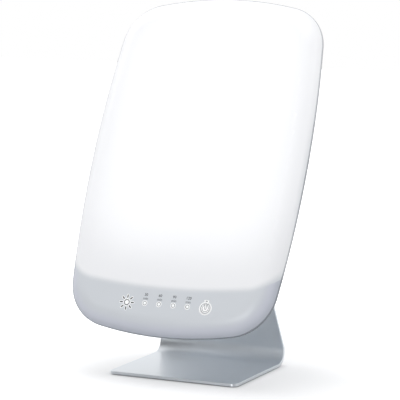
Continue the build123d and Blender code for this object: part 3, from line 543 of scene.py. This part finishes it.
FINISHES: dict[str, Finish] = {
    # Aluminium plate, brushed across and then anodised. Its highlights spread at right angles to
    # the lines. Real lines lie some 0.05 mm apart and are drawn coarser, so that they show.
    "stand_aluminium": WorkedMetal(
        "satin_anodised_aluminium", "#e9eef3", "#edf1f5", roughness=0.36, spread=0.06,
        grain=Grain.ACROSS, spacing=0.35, relief=0.005, patch=90.0, anisotropy=0.75),
    # Pressed steel, zinc plated in a barrel: bright grey with slow yellowish clouds.
    "hinge_steel": WorkedMetal(
        "zinc_plated_steel", "#b9bbba", "#c6c5bd", roughness=0.34, spacing=0.5, patch=12.0),
    # Deep-drawn aluminium: bright, with an even, slightly blurred gloss.
    "can_aluminium": WorkedMetal("drawn_aluminium_can", "#c9cbcc", "#bfc2c4", roughness=0.3),
    # Extruded aluminium: grey, with fine die lines along it.
    "sink_aluminium": WorkedMetal(
        "extruded_aluminium", "#b4b8bb", "#a9adb1", roughness=0.42, grain=Grain.ALONG),
    # Brass turned from rod: a warm, sharp gloss over small tool marks.
    "contact_brass": WorkedMetal("turned_brass", "#d0ab62", "#c39a52", roughness=0.28, patch=4.0),
    # Nitrile rubber from a rough mould: dull black that takes up light.
    "pad_rubber": Moulded(
        "moulded_nitrile_rubber", "#26272a", "#303136", roughness=0.8, grain=0.5, relief=0.05),
    # Nylon turned on a lathe: creamy and slightly waxy.
    "bush_nylon": Moulded("turned_nylon", "#d9d6cb", "#cfccc0", roughness=0.5, ior=1.53),
    # Opal acrylic, thermoformed: milky and smooth, lit through from behind.
    "opal_acrylic": OpalLight(),
    # Moulded ABS, sprayed with silver lacquer: grey with a faint metallic fleck, with painted shade
    # where it curves back to the sides and underneath.
    "band_plastic": SilverLacquer(),
    # The same lacquer in a darker grey on the moulded trim: a thin, quiet line round the head. Along
    # the band it takes the low colour all over, which is partly its own grey and partly painted shade;
    # beside the light surface it is lighter.
    "trim_plastic": SilverLacquer(
        "satin_grey_abs", side_shade="#8d9399", low="#898f96", light="#bdc0c4", glow=0.0),
    # ABS from a spark-eroded mould: a dull, finely grained pale grey.
    "housing_plastic": Moulded(
        "spark_textured_abs", "#ebedef", "#e6e8eb", roughness=0.5, grain=0.9, relief=0.05),
    # Steel sheet under baked white enamel: smooth white with a clear gloss.
    "tray_enamel": Moulded(
        "baked_white_enamel", "#f4f4f0", "#eeeeea", roughness=0.25, grain=2.0, relief=0.02, coat=0.3),
    # Polyester film with a frosted coat: an even, dull white.
    "film_plastic": Moulded("diffusing_film", "#f1f2f2", "#e9ebeb", roughness=0.6, grain=0.3),
    # Glass-fibre boards, etched and coated: solder mask with slightly raised, paler tracks.
    "board_fibreglass": CircuitBoard("green_solder_mask", "#1f5a3a", "#2f7a4c"),
    "strip_fibreglass": CircuitBoard("white_solder_mask", "#ecece6", "#dcdcd2", pitch=4.0),
    # Cast silicone with phosphor: a yellow that glows warm white.
    "led_resin": Glowing("phosphor_resin", "#f3e08a", "#fff6e0", 0.6),
    # Clear acrylic, moulded with a frosted face: nearly white, with a weak glow.
    "pipe_acrylic": Glowing("frosted_clear_acrylic", "#f2f4f5", "#ffffff", 0.12),
    # Moulded nylon: white, with a soft gloss.
    "rivet_plastic": Moulded("white_nylon", "#ebebe6", "#e3e3de", roughness=0.45),
    # Foamed polyethylene, cut from a sheet: dark and dull, with small open cells.
    "baffle_foam": Moulded(
        "closed_cell_foam", "#3a3b3e", "#47484b", roughness=0.9, grain=0.8, relief=0.2),
    # Transfer-moulded epoxy: black and slightly rough.
    "chip_plastic": Moulded("moulded_epoxy", "#1e1f21", "#2a2b2d", roughness=0.55, grain=0.3),
    # Pressed and sintered ferrite: dark grey and grainy.
    "ferrite": Moulded(
        "sintered_ferrite", "#3b3c3e", "#4a4a4c", roughness=0.65, grain=0.7, relief=0.05),
    # Moulded ABS from a polished mould: white with a satin gloss.
    "button_plastic": Moulded(
        "white_satin_abs", "#e6e8ea", "#dfe2e5", roughness=0.35, grain=0.4, relief=0.008),
    # Nylon filled with glass fibre: black, with a slightly dry surface.
    "switch_plastic": Moulded("black_glass_filled_nylon", "#252629", "#2f3033", roughness=0.5),
    # Moulded PBT: black with a smooth gloss.
    "inlet_plastic": Moulded("black_pbt", "#1c1d1f", "#27282a", roughness=0.4, grain=0.4),
    # PVC, extruded over the wires: smooth and slightly shiny.
    "lead_insulation": Moulded("red_pvc", "#8f2a25", "#7d241f", roughness=0.4, grain=1.2),
    "ribbon_insulation": Moulded("grey_ribbon_pvc", "#9a9da1", "#8d9094", roughness=0.45),
}


class Finisher:
    """Builds each finish once and gives it to pieces and CAD nodes."""

    def __init__(self) -> None:
        """Start with no finish built."""
        self.built: dict[str, Material] = {}

    def get(self, finish: Finish) -> Material:
        """Give the material of a finish, which is built the first time it is asked for.

        Args:
            finish: the finish.

        Returns:
            Its material.
        """
        if finish.name not in self.built:
            self.built[finish.name] = finish.build()
        return self.built[finish.name]

    def dress(self, node: Object) -> None:
        """Give a CAD node the finish of each of its material slots."""
        for slot in node.material_slots:
            slot.material = self.get(FINISHES[slot.material.name])


# ---------------------------------------------------------------- pieces
@dataclass
class Piece:
    """A new piece: its name, the body that it rides on, its slot and what it stands for."""

    name: str
    body: str
    slot: str
    replaces: tuple[str, ...] = ()

    def finish(
        self, mesh: BMesh, place: Matrix, material: Material, flat: bool = False
    ) -> Object:
        """Turn a finished bmesh into an object at the origin that rides on its body.

        Args:
            mesh: the shape, which is freed here.
            place: the matrix that takes it to the row frame.
            material: its material.
            flat: whether its faces are shaded flat.

        Returns:
            The new object.
        """
        mesh.transform(place)
        for face in mesh.faces:
            face.smooth = not flat
        data = bpy.data.meshes.new(self.name)
        mesh.to_mesh(data)
        mesh.free()
        data.materials.append(material)
        piece = bpy.data.objects.new(self.name, data)
        bpy.context.scene.collection.objects.link(piece)
        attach(piece, self.body)
        if self.replaces:
            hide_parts(*self.replaces)
        LOG.info("%s: %d faces on %s", self.name, len(data.polygons), self.body)
        return piece


def even_normals(piece: Object) -> None:
    """Weight a piece's normals by area, so that its flat faces look flat."""
    even = piece.modifiers.new("even_normals", "WEIGHTED_NORMAL")
    even.keep_sharp = False


def soften(piece: Object, width: float, angle: float = 40.0) -> None:
    """Round the hard edges of a piece or CAD node with modifiers.

    Args:
        piece: the object.
        width: how wide the rounding is, in millimetres.
        angle: the sharpest corner that stays as it is, in degrees.
    """
    weld = piece.modifiers.new("weld", "WELD")
    weld.merge_threshold = WELD_WITHIN
    bevel = piece.modifiers.new("edge_round", "BEVEL")
    bevel.width = width * MM
    bevel.segments = 2
    bevel.limit_method = "ANGLE"
    bevel.angle_limit = math.radians(angle)
    even_normals(piece)


@dataclass
class SubAssembly:
    """A part of the lamp: what holds its finishes, and the CAD nodes that it keeps."""

    finisher: Finisher
    nodes: tuple[str, ...] = ()

    def dress(self) -> None:
        """Give each of its nodes its finishes."""
        for name in self.nodes:
            self.finisher.dress(frame["nodes"][name])


@dataclass
class Stand(SubAssembly):
    """The bent plate, its rubber pads and the hinge leaf screwed to it."""

    thickness: float = 4.5
    width: float = 216.5
    front: float = -93.0
    bend_start: float = 64.5
    floor_to_face: float = 5.7
    bend_radius: float = 18.5
    lean: float = math.radians(15.0)
    upright: float = 243.3
    taper: float = math.radians(7.5)
    foot_corner: float = 9.5
    upright_corner: float = 22.0
    edge_round: float = 0.4
    edge_angle: float = math.radians(60.0)
    bend_steps: int = 28
    nodes: tuple[str, ...] = ("foot_pads", "stand_leaf_screws")

    def plate(self) -> BMesh:
        """The plate: its upper face is drawn out, bent and rounded, then given its thickness.

        Returns:
            The plate in millimetres in the row frame.
        """
        mesh = bmesh.new()
        half = self.width / 2
        start = [mesh.verts.new((side * half, self.front, self.floor_to_face)) for side in (-1, 1)]
        edge = mesh.edges.new(start)
        made = bmesh.ops.extrude_edge_only(mesh, edges=[edge])["geom"]
        line = [g for g in made if isinstance(g, BMVert)]
        bmesh.ops.translate(mesh, verts=line, vec=(0, self.bend_start - self.front, 0))
        edge = [g for g in made if isinstance(g, BMEdge) and all(v in line for v in g.verts)]
        centre = (0, self.bend_start, self.floor_to_face + self.bend_radius)
        made = bmesh.ops.spin(
            mesh, geom=edge, cent=centre, axis=(1, 0, 0),
            angle=math.pi / 2 + self.lean, steps=self.bend_steps,
        )["geom_last"]
        edge = [g for g in made if isinstance(g, BMEdge)]
        made = bmesh.ops.extrude_edge_only(mesh, edges=edge)["geom"]
        line = [g for g in made if isinstance(g, BMVert)]
        climb = Vector((0, -math.sin(self.lean), math.cos(self.lean))) * self.upright
        bmesh.ops.translate(mesh, verts=line, vec=climb)
        narrow = 1 - self.upright * math.tan(self.taper) / half
        bmesh.ops.scale(mesh, verts=line, vec=(narrow, 1, 1))
        corner = self.upright_corner / math.tan((math.pi / 2 + self.taper) / 2)
        for verts, offset in ((start, self.foot_corner), (line, corner)):
            bmesh.ops.bevel(
                mesh, geom=verts, offset=offset, offset_type="OFFSET", segments=10,
                profile=0.5, affect="VERTICES", material=-1)
        bmesh.ops.recalc_face_normals(mesh, faces=mesh.faces)
        if sum(f.normal.z * f.calc_area() for f in mesh.faces) < 0:
            bmesh.ops.reverse_faces(mesh, faces=mesh.faces)
        bmesh.ops.solidify(mesh, geom=mesh.faces, thickness=self.thickness)
        bmesh.ops.recalc_face_normals(mesh, faces=mesh.faces)
        sharp = [e for e in mesh.edges if e.is_manifold and e.calc_face_angle() > self.edge_angle]
        bmesh.ops.bevel(
            mesh, geom=sharp, offset=self.edge_round, offset_type="OFFSET", segments=3,
            profile=0.5, affect="EDGES", material=-1)
        return mesh

    def dress(self) -> None:
        """Build the plate and give the stand its finishes."""
        piece = Piece("stand_plate_satin", "stand", "stand_aluminium", ("stand_plate",))
        material = self.finisher.get(FINISHES["stand_aluminium"])
        even_normals(piece.finish(self.plate(), Matrix.Scale(MM, 4), material))
        super().dress()


@dataclass
class Hinge(SubAssembly):
    """The friction hinge: two steel leaves, pin, bushes, washers and nut."""

    edge_round: float = 0.35
    softened: tuple[str, ...] = ("stand_hinge_leaf", "head_hinge_leaf", "hinge_nut")
    nodes: tuple[str, ...] = (
        "stand_hinge_leaf", "head_hinge_leaf", "hinge_nut", "hinge_pin", "hinge_bushes",
        "friction_washers", "spring_washers", "head_leaf_screws",
    )

    def dress(self) -> None:
        """Give the hinge its finishes and round its edges."""
        super().dress()
        for name in self.softened:
            soften(frame["nodes"][name], self.edge_round)


@dataclass
class Prints:
    """The symbols and numbers printed on the control band, in millimetres on its face."""

    row: float = -227.2
    face: float = 20.0
    film: float = 0.03
    ink: float = 0.06
    touching: float = 0.001
    sun_at: tuple[float, float] = (-62.0, -228.2)
    sun_disc: float = 4.7
    ray_from: float = 6.7
    ray_to: float = 12.0
    ray_width: float = 2.0
    ray_count: int = 8
    line: float = 1.2
    halo: float = 1.0
    lights_from: float = -31.8
    lights_pitch: float = 23.8
    minutes: tuple[int, ...] = (30, 60, 90, 120)
    number_up: float = 13.2
    unit_up: float = 7.2
    number_size: float = 5.9
    unit_size: float = 5.7
    bold: float = 0.07
    light_ring: tuple[float, float] = (2.4, 3.2)
    light_halo: tuple[float, float] = (2.35, 4.4)
    button_at: float = 69.5
    button_face: float = 8.05
    button_halo: tuple[float, float] = (8.6, 10.3)
    symbol_ring: tuple[float, float] = (4.7, 7.7)
    symbol_line: float = 0.75
    symbol_gap: float = math.radians(40.0)
    symbol_bar: tuple[float, float, float] = (-1.9, 7.7, 3.4)
    nub: tuple[float, float, float] = (10.3, 13.1, 0.66)
    nub_mark: tuple[float, float, float] = (10.5, 11.9, 0.28)

    @property
    def lights_at(self) -> list[float]:
        """How far across each time light stands."""
        return [self.lights_from + index * self.lights_pitch for index in range(len(self.minutes))]

    def ring(
        self, mesh: BMesh, at: tuple[float, float], inner: float, outer: float,
        start: float = 0.0, sweep: float = math.tau, steps: int = 56,
    ) -> None:
        """Add a flat ring, or an arc of one.

        Args:
            mesh: the bmesh that it goes into.
            at: its middle.
            inner: its inner radius.
            outer: its outer radius.
            start: the angle from +u that it starts at.
            sweep: how far round it goes.
            steps: how many sides it has.
        """
        ends = [
            mesh.verts.new((at[0] + radius * math.cos(start), at[1] + radius * math.sin(start), 0))
            for radius in (inner, outer)
        ]
        bmesh.ops.spin(
            mesh, geom=[mesh.edges.new(ends)], cent=(*at, 0), axis=(0, 0, 1), angle=sweep,
            steps=steps, use_merge=sweep == math.tau)

    def tab(self, mesh: BMesh, inner: float, outer: float, sweep: float) -> None:
        """Add the short arc above the button between two radii."""
        self.ring(
            mesh, (self.button_at, self.row), inner, outer, (math.pi - sweep) / 2, sweep, steps=8)

    def loop(
        self, mesh: BMesh, place: Matrix, start: float, end: float, width: float,
        line: float,
    ) -> None:
        """Add the outline of a long round-ended shape that points up from place.

        Args:
            mesh: the bmesh that it goes into.
            place: where its own origin goes.
            start: how far up it starts.
            end: how far up it ends.
            width: its outer width.
            line: how wide its line is, or as wide as the shape for a filled one.
        """
        loops = []
        radii = [width / 2] if line * 2 >= width else [width / 2, width / 2 - line]
        for radius in radii:
            made = bmesh.ops.create_circle(mesh, cap_ends=len(radii) == 1, radius=radius, segments=24)
            verts = made["verts"]
            low = start + width / 2
            for vert in verts:
                vert.co.y += (end - width / 2) if vert.co.y > self.touching else low
            bmesh.ops.transform(mesh, verts=verts, matrix=place)
            loops += {e for v in verts for e in v.link_edges}
        if len(radii) > 1:
            bmesh.ops.bridge_loops(mesh, edges=loops)

    def text(self, mesh: BMesh, words: str, size: float, at: tuple[float, float]) -> None:
        """Add a word or number as flat faces, centred on a point.

        Args:
            mesh: the bmesh that it goes into.
            words: what it says.
            size: the height of its line.
            at: its middle.
        """
        curve = bpy.data.curves.new("lettering", "FONT")
        curve.body = words
        curve.size = size
        curve.align_x = "CENTER"
        curve.align_y = "CENTER"
        curve.resolution_u = 3
        curve.offset = self.bold
        holder = bpy.data.objects.new("lettering", curve)
        flat = bpy.data.meshes.new_from_object(holder)
        flat.transform(Matrix.Translation((*at, 0)))
        mesh.from_mesh(flat)
        bpy.data.objects.remove(holder)
        bpy.data.curves.remove(curve)
        bpy.data.meshes.remove(flat)

    def raised(self, draw: Callable[[BMesh], None], film: float) -> BMesh:
        """Draw flat faces and give them the thickness of a printed film, closed all round.

        Args:
            draw: what draws the faces into a bmesh.
            film: how thick the film is.

        Returns:
            The film in millimetres.
        """
        mesh = bmesh.new()
        draw(mesh)
        bmesh.ops.remove_doubles(mesh, verts=mesh.verts, dist=self.touching)
        made = bmesh.ops.extrude_face_region(mesh, geom=mesh.faces[:])["geom"]
        top = [g for g in made if isinstance(g, BMVert)]
        bmesh.ops.translate(mesh, verts=top, vec=(0, 0, film))
        bmesh.ops.recalc_face_normals(mesh, faces=mesh.faces)
        return mesh

    def rays(self, mesh: BMesh, grow: float) -> None:
        """Add the sun symbol's rays.

        Args:
            mesh: the bmesh that they go into.
            grow: how far each is grown all round.
        """
        width = self.ray_width + 2 * grow
        for index in range(self.ray_count):
            turn = Matrix.Rotation(math.tau * index / self.ray_count, 4, "Z")
            place = Matrix.Translation((*self.sun_at, 0)) @ turn
            self.loop(mesh, place, self.ray_from - grow, self.ray_to + grow, width, width)

    def white(self, mesh: BMesh) -> None:
        """Draw the white ground under the symbols.

        Args:
            mesh: the bmesh that it goes into.
        """
        self.rays(mesh, self.halo)
        bmesh.ops.create_circle(
            mesh, cap_ends=True, radius=self.sun_disc + self.halo, segments=48,
            matrix=Matrix.Translation((*self.sun_at, 0)))
        for across in self.lights_at:
            self.ring(mesh, (across, self.row), *self.light_halo)
        self.ring(mesh, (self.button_at, self.row), *self.button_halo)
        self.tab(mesh, *self.nub)

    def grey(self, mesh: BMesh) -> None:
        """Draw the sun and the numbers.

        Args:
            mesh: the bmesh that it goes into.
        """
        self.rays(mesh, 0.0)
        self.ring(mesh, self.sun_at, self.sun_disc - self.line, self.sun_disc)
        for across, minutes in zip(self.lights_at, self.minutes):
            self.text(mesh, str(minutes), self.number_size, (across, self.row + self.number_up))

    def pale(self, mesh: BMesh) -> None:
        """Draw the units, the rings round the time lights and the mark above the button.

        Args:
            mesh: the bmesh that it goes into.
        """
        for across in self.lights_at:
            self.ring(mesh, (across, self.row), *self.light_ring)
            self.text(mesh, "min", self.unit_size, (across, self.row + self.unit_up))
        self.tab(mesh, *self.nub_mark)

    def ground(self, mesh: BMesh) -> None:
        """Draw the white print over the button's face."""
        bmesh.ops.create_circle(mesh, cap_ends=True, radius=self.button_face, segments=56)

    def symbol(self, mesh: BMesh) -> None:
        """Draw the power symbol in outline: a broken ring and a bar.

        Args:
            mesh: the bmesh that it goes into.
        """
        inner, outer = self.symbol_ring
        line = self.symbol_line
        start = (math.pi + self.symbol_gap) / 2
        sweep = math.tau - self.symbol_gap
        for radius in (inner, outer - line):
            self.ring(mesh, (0, 0), radius, radius + line, start, sweep)
        cap = 2 * line / (inner + outer)
        for cap_start in (start, start + sweep - cap):
            self.ring(mesh, (0, 0), inner + line, outer - line, cap_start, cap, 2)
        self.loop(mesh, Matrix.Identity(4), *self.symbol_bar, self.symbol_line)


@dataclass
class ControlBand(SubAssembly):
    """The silver control band, its prints, time lights and push button."""

    prints: Prints = field(default_factory=Prints)
    button_proud: float = 0.4
    nodes: tuple[str, ...] = (
        "control_fascia", "time_light_pipes", "indicator_leds", "control_board",
        "control_board_screws", "button_switch", "control_connector", "control_cable",
        "power_button", "switch_plunger",
    )

    def dress(self) -> None:
        """Build the prints and give the band its finishes."""
        super().dress()
        prints = self.prints
        face = HEAD.place(w=prints.face)
        top = HEAD.place(prints.button_at, prints.row, prints.face + self.button_proud)
        for name, body, slot, draw, film, place, ink in (
            ("white_print", "head", "band_plastic", prints.white, prints.film, face, Ink.WHITE),
            ("grey_print", "head", "band_plastic", prints.grey, prints.ink, face, Ink.GREY),
            ("pale_print", "head", "band_plastic", prints.pale, prints.ink, face, Ink.PALE),
            ("button_print", "button", "button_plastic", prints.ground, prints.film, top, Ink.WHITE),
            ("power_symbol", "button", "button_plastic", prints.symbol, prints.ink, top, Ink.PALE),
        ):
            mesh = prints.raised(draw, film)
            Piece(name, body, slot).finish(mesh, place, self.finisher.get(ink.value), flat=True)


@dataclass
class Housing(SubAssembly):
    """The back cover with its screws, the trim ring, and the bare plate in the recess."""

    recess_floor: float = -27.6
    plate_at: float = 18.0
    plate_size: tuple[float, float, float] = (91.0, 43.0, 0.3)
    plate_corner: float = 2.0
    nodes: tuple[str, ...] = (
        "trim_ring", "rear_housing", "housing_screws", "stiffener_plate",
        "inlet_socket", "inlet_contact", "inlet_nut", "inlet_leads",
    )

    def plate(self) -> BMesh:
        """The bare plate, round at its corners.

        Returns:
            The plate in millimetres about its own middle.
        """
        mesh = bmesh.new()
        bmesh.ops.create_cube(mesh, size=1.0, matrix=Matrix.Diagonal((*self.plate_size, 1.0)))
        half = self.plate_size[2] / 2
        upright = [e for e in mesh.edges if abs(e.verts[0].co.z - e.verts[1].co.z) > half]
        bmesh.ops.bevel(
            mesh, geom=upright, offset=self.plate_corner, offset_type="OFFSET", segments=6,
            profile=0.5, affect="EDGES", material=-1)
        return mesh

    def dress(self) -> None:
        """Give the housing its finishes and lay the bare plate in its recess."""
        super().dress()
        place = HEAD.place(0.0, self.plate_at, self.recess_floor - self.plate_size[2] / 2)
        Piece("bare_back_plate", "head", "housing_plastic").finish(
            self.plate(), place, self.finisher.get(PLATE_FOIL), flat=True)


@dataclass
class LightEngine(SubAssembly):
    """The light surface, the film and tray behind it, and the driver that feeds the LEDs."""

    nodes: tuple[str, ...] = (
        "diffuser", "diffuser_film", "light_baffle", "reflector_tray", "tray_screws",
        "led_strips", "led_packages", "strip_rivets", "light_leads", "driver_board",
        "driver_screws", "driver_inductors", "driver_capacitors", "driver_chips",
        "driver_heatsink", "driver_connectors",
    )


# ---------------------------------------------------------------- studio
@dataclass(frozen=True)
class SoftBox:
    """A large soft lamp that looks at the object."""

    name: str
    at: tuple[float, float, float]
    size: tuple[float, float]
    power: float

    def build(self, target: Vector) -> None:
        """Hang the lamp and turn it to the target.

        Args:
            target: the point that it looks at.
        """
        lamp = bpy.data.lights.new(self.name, "AREA")
        lamp.shape = "RECTANGLE"
        lamp.size, lamp.size_y = self.size
        lamp.energy = self.power
        holder = bpy.data.objects.new(self.name, lamp)
        bpy.context.scene.collection.objects.link(holder)
        holder.location = self.at
        holder.rotation_mode = "QUATERNION"
        holder.rotation_quaternion = (target - Vector(self.at)).to_track_quat("-Z", "Y")


@dataclass
class Studio:
    """A white floor and backdrop, plain soft light, and the camera."""

    azimuth: float = math.radians(25.95)
    elevation: float = math.radians(7.73)
    distance: float = 3.1303
    target: tuple[float, float, float] = (0.0491, -0.095, 0.2803)
    lens: float = 189.4
    sensor: float = 36.0
    floor_half: float = 6.0
    floor_tone: tuple[str, str] = ("#bfc0c2", "#c1c2c4")
    # The floor's white is turned down round a middle close to the object: a painted shadow over the
    # real one.
    floor_white_with_painted_shadow: tuple[float, float] = (0.415, 1.0)
    painted_shadow_middle: tuple[float, float] = (0.06, -0.06)
    painted_shadow_fade: tuple[float, float] = (0.10, 0.56)
    floor_mirrored: float = 0.45
    floor_grain: float = 4.0
    # How far the painted contact shadow reaches.
    contact: float = 0.012
    ambient: float = 0.5
    room: tuple[float, float] = (0.05, 0.75)
    room_turn: tuple[float, float] = (-0.7, 0.1)
    lamps_look_at: tuple[float, float, float] = (0.0, 0.0, 0.3)
    boxes: tuple[SoftBox, ...] = (
        SoftBox("front_box", (0.0, -2.98, 0.61), (1.5, 1.0), 25.0),
        SoftBox("left_box", (-2.36, 0.0, 2.15), (1.5, 1.5), 22.0),
        SoftBox("right_box", (2.36, 0.0, 2.15), (1.5, 1.5), 17.0),
        SoftBox("back_left_box", (-2.11, 2.11, 0.61), (3.0, 2.0), 5.0),
        SoftBox("back_box", (0.0, 2.98, 0.61), (3.0, 2.0), 6.5),
        SoftBox("back_right_box", (2.11, 2.11, 0.61), (3.0, 2.0), 7.0),
        SoftBox("top_box", (0.0, -0.26, 3.29), (2.0, 2.0), 38.0),
    )

    def background(self) -> None:
        """White where a camera or transmission ray leaves the scene, soft light elsewhere.

        A glossy ray sees the white backdrop behind the object and the greyer room before it.
        """
        world = bpy.data.worlds.new("studio")
        world.use_nodes = True
        tree = world.node_tree
        tree.nodes.clear()
        path = add(tree, "LightPath")
        way = add(tree, "SeparateXYZ", inputs={0: add(tree, "TexCoord").outputs["Generated"]})
        room = add(tree, "MapRange", {"interpolation_type": "SMOOTHSTEP"}, {
            "Value": way.outputs[1],
            "From Min": self.room_turn[0], "From Max": self.room_turn[1],
            "To Min": self.room[0], "To Max": self.room[1]})
        mirrored = add(tree, "MapRange", inputs={
            "Value": path.outputs["Is Glossy Ray"], "To Min": self.ambient, "To Max": room.outputs[0]})
        seen = add(tree, "Math", {"operation": "MAXIMUM"}, {
            0: path.outputs["Is Camera Ray"], 1: path.outputs["Is Transmission Ray"]})
        strength = add(tree, "MapRange", inputs={
            "Value": seen.outputs[0], "To Min": mirrored.outputs[0], "To Max": 1.0})
        light = add(tree, "Background", inputs={
            "Color": linear("#ffffff"), "Strength": strength.outputs[0]})
        add(tree, "OutputWorld", inputs={"Surface": light.outputs[0]})
        bpy.context.scene.world = world

    def floor(self) -> None:
        """A matt floor that a camera sees as white outside the object's shadow, which is partly real
        and partly a painted shadow round the object.
        """
        mesh = bmesh.new()
        bmesh.ops.create_grid(mesh, x_segments=8, y_segments=8, size=self.floor_half)
        data = bpy.data.meshes.new("floor")
        mesh.to_mesh(data)
        mesh.free()
        material, tree, shader = new_material("studio_floor", Roughness=0.9)
        where = add(tree, "TexCoord").outputs["Object"]
        paper = add(tree, "TexNoise", inputs={"Vector": where, "Scale": per_metre(self.floor_grain)})
        tone = add(tree, "Mix", {"data_type": "RGBA"}, {
            0: paper.outputs["Fac"], 6: linear(self.floor_tone[0]), 7: linear(self.floor_tone[1])})
        tree.links.new(tone.outputs[2], shader.inputs["Base Color"])
        # Painted shadow: the white fades down towards that middle.
        offset = add(tree, "VectorMath", {"operation": "SUBTRACT"}, {
            0: where, 1: (*self.painted_shadow_middle, 0.0)})
        away = add(tree, "VectorMath", {"operation": "LENGTH"}, {0: offset.outputs[0]})
        white = add(tree, "MapRange", {"interpolation_type": "SMOOTHSTEP"}, {
            "Value": away.outputs["Value"],
            "From Min": self.painted_shadow_fade[0], "From Max": self.painted_shadow_fade[1],
            "To Min": self.floor_white_with_painted_shadow[0], "To Max": self.floor_white_with_painted_shadow[1]})
        # Ambient occlusion takes the white out where something stands close over the floor: a painted
        # contact shadow.
        painted_contact_shadow = add(tree, "AmbientOcclusion", {"samples": 8}, {"Distance": self.contact})
        white = add(tree, "Math", {"operation": "MULTIPLY"}, {
            0: white.outputs[0], 1: painted_contact_shadow.outputs["AO"]})
        path = add(tree, "LightPath")
        # In a mirror the lit floor already counts, so less is added than for the camera.
        mirrored = add(tree, "Math", {"operation": "MULTIPLY"}, {
            0: path.outputs["Is Glossy Ray"], 1: self.floor_mirrored})
        seen = mirrored.outputs[0]
        for ray in ("Is Camera Ray", "Is Transmission Ray"):
            seen = add(tree, "Math", {"operation": "MAXIMUM"}, {
                0: seen, 1: path.outputs[ray]}).outputs[0]
        glow = add(tree, "Math", {"operation": "MULTIPLY"}, {0: seen, 1: white.outputs[0]})
        shader.inputs["Emission Color"].default_value = linear("#ffffff")
        tree.links.new(glow.outputs[0], shader.inputs["Emission Strength"])
        data.materials.append(material)
        floor = bpy.data.objects.new("floor", data)
        bpy.context.scene.collection.objects.link(floor)

    def camera(self) -> None:
        """The camera, without roll or shift."""
        data = bpy.data.cameras.new("camera")
        data.sensor_width = self.sensor
        data.lens = self.lens
        data.clip_end = 50.0
        camera = bpy.data.objects.new("camera", data)
        bpy.context.scene.collection.objects.link(camera)
        back = Vector((
            math.sin(self.azimuth) * math.cos(self.elevation),
            -math.cos(self.azimuth) * math.cos(self.elevation),
            math.sin(self.elevation),
        ))
        camera.location = Vector(self.target) + back * self.distance
        camera.rotation_mode = "QUATERNION"
        camera.rotation_quaternion = (-back).to_track_quat("-Z", "Y")
        bpy.context.scene.camera = camera

    def build(self) -> None:
        """Set up floor, background, lamps and camera."""
        bpy.context.scene.view_settings.view_transform = "Standard"
        self.background()
        self.floor()
        for box in self.boxes:
            box.build(Vector(self.lamps_look_at))
        self.camera()


def main() -> None:
    """Build the studio and the lamp's sub-assemblies in order."""
    logging.basicConfig(level=logging.INFO, format="%(name)s: %(message)s")
    Studio().build()
    finisher = Finisher()
    for kind in (Stand, Hinge, Housing, LightEngine, ControlBand):
        kind(finisher).dress()
        LOG.info("%s dressed", kind.__name__)


if __name__ == "__main__":
    main()
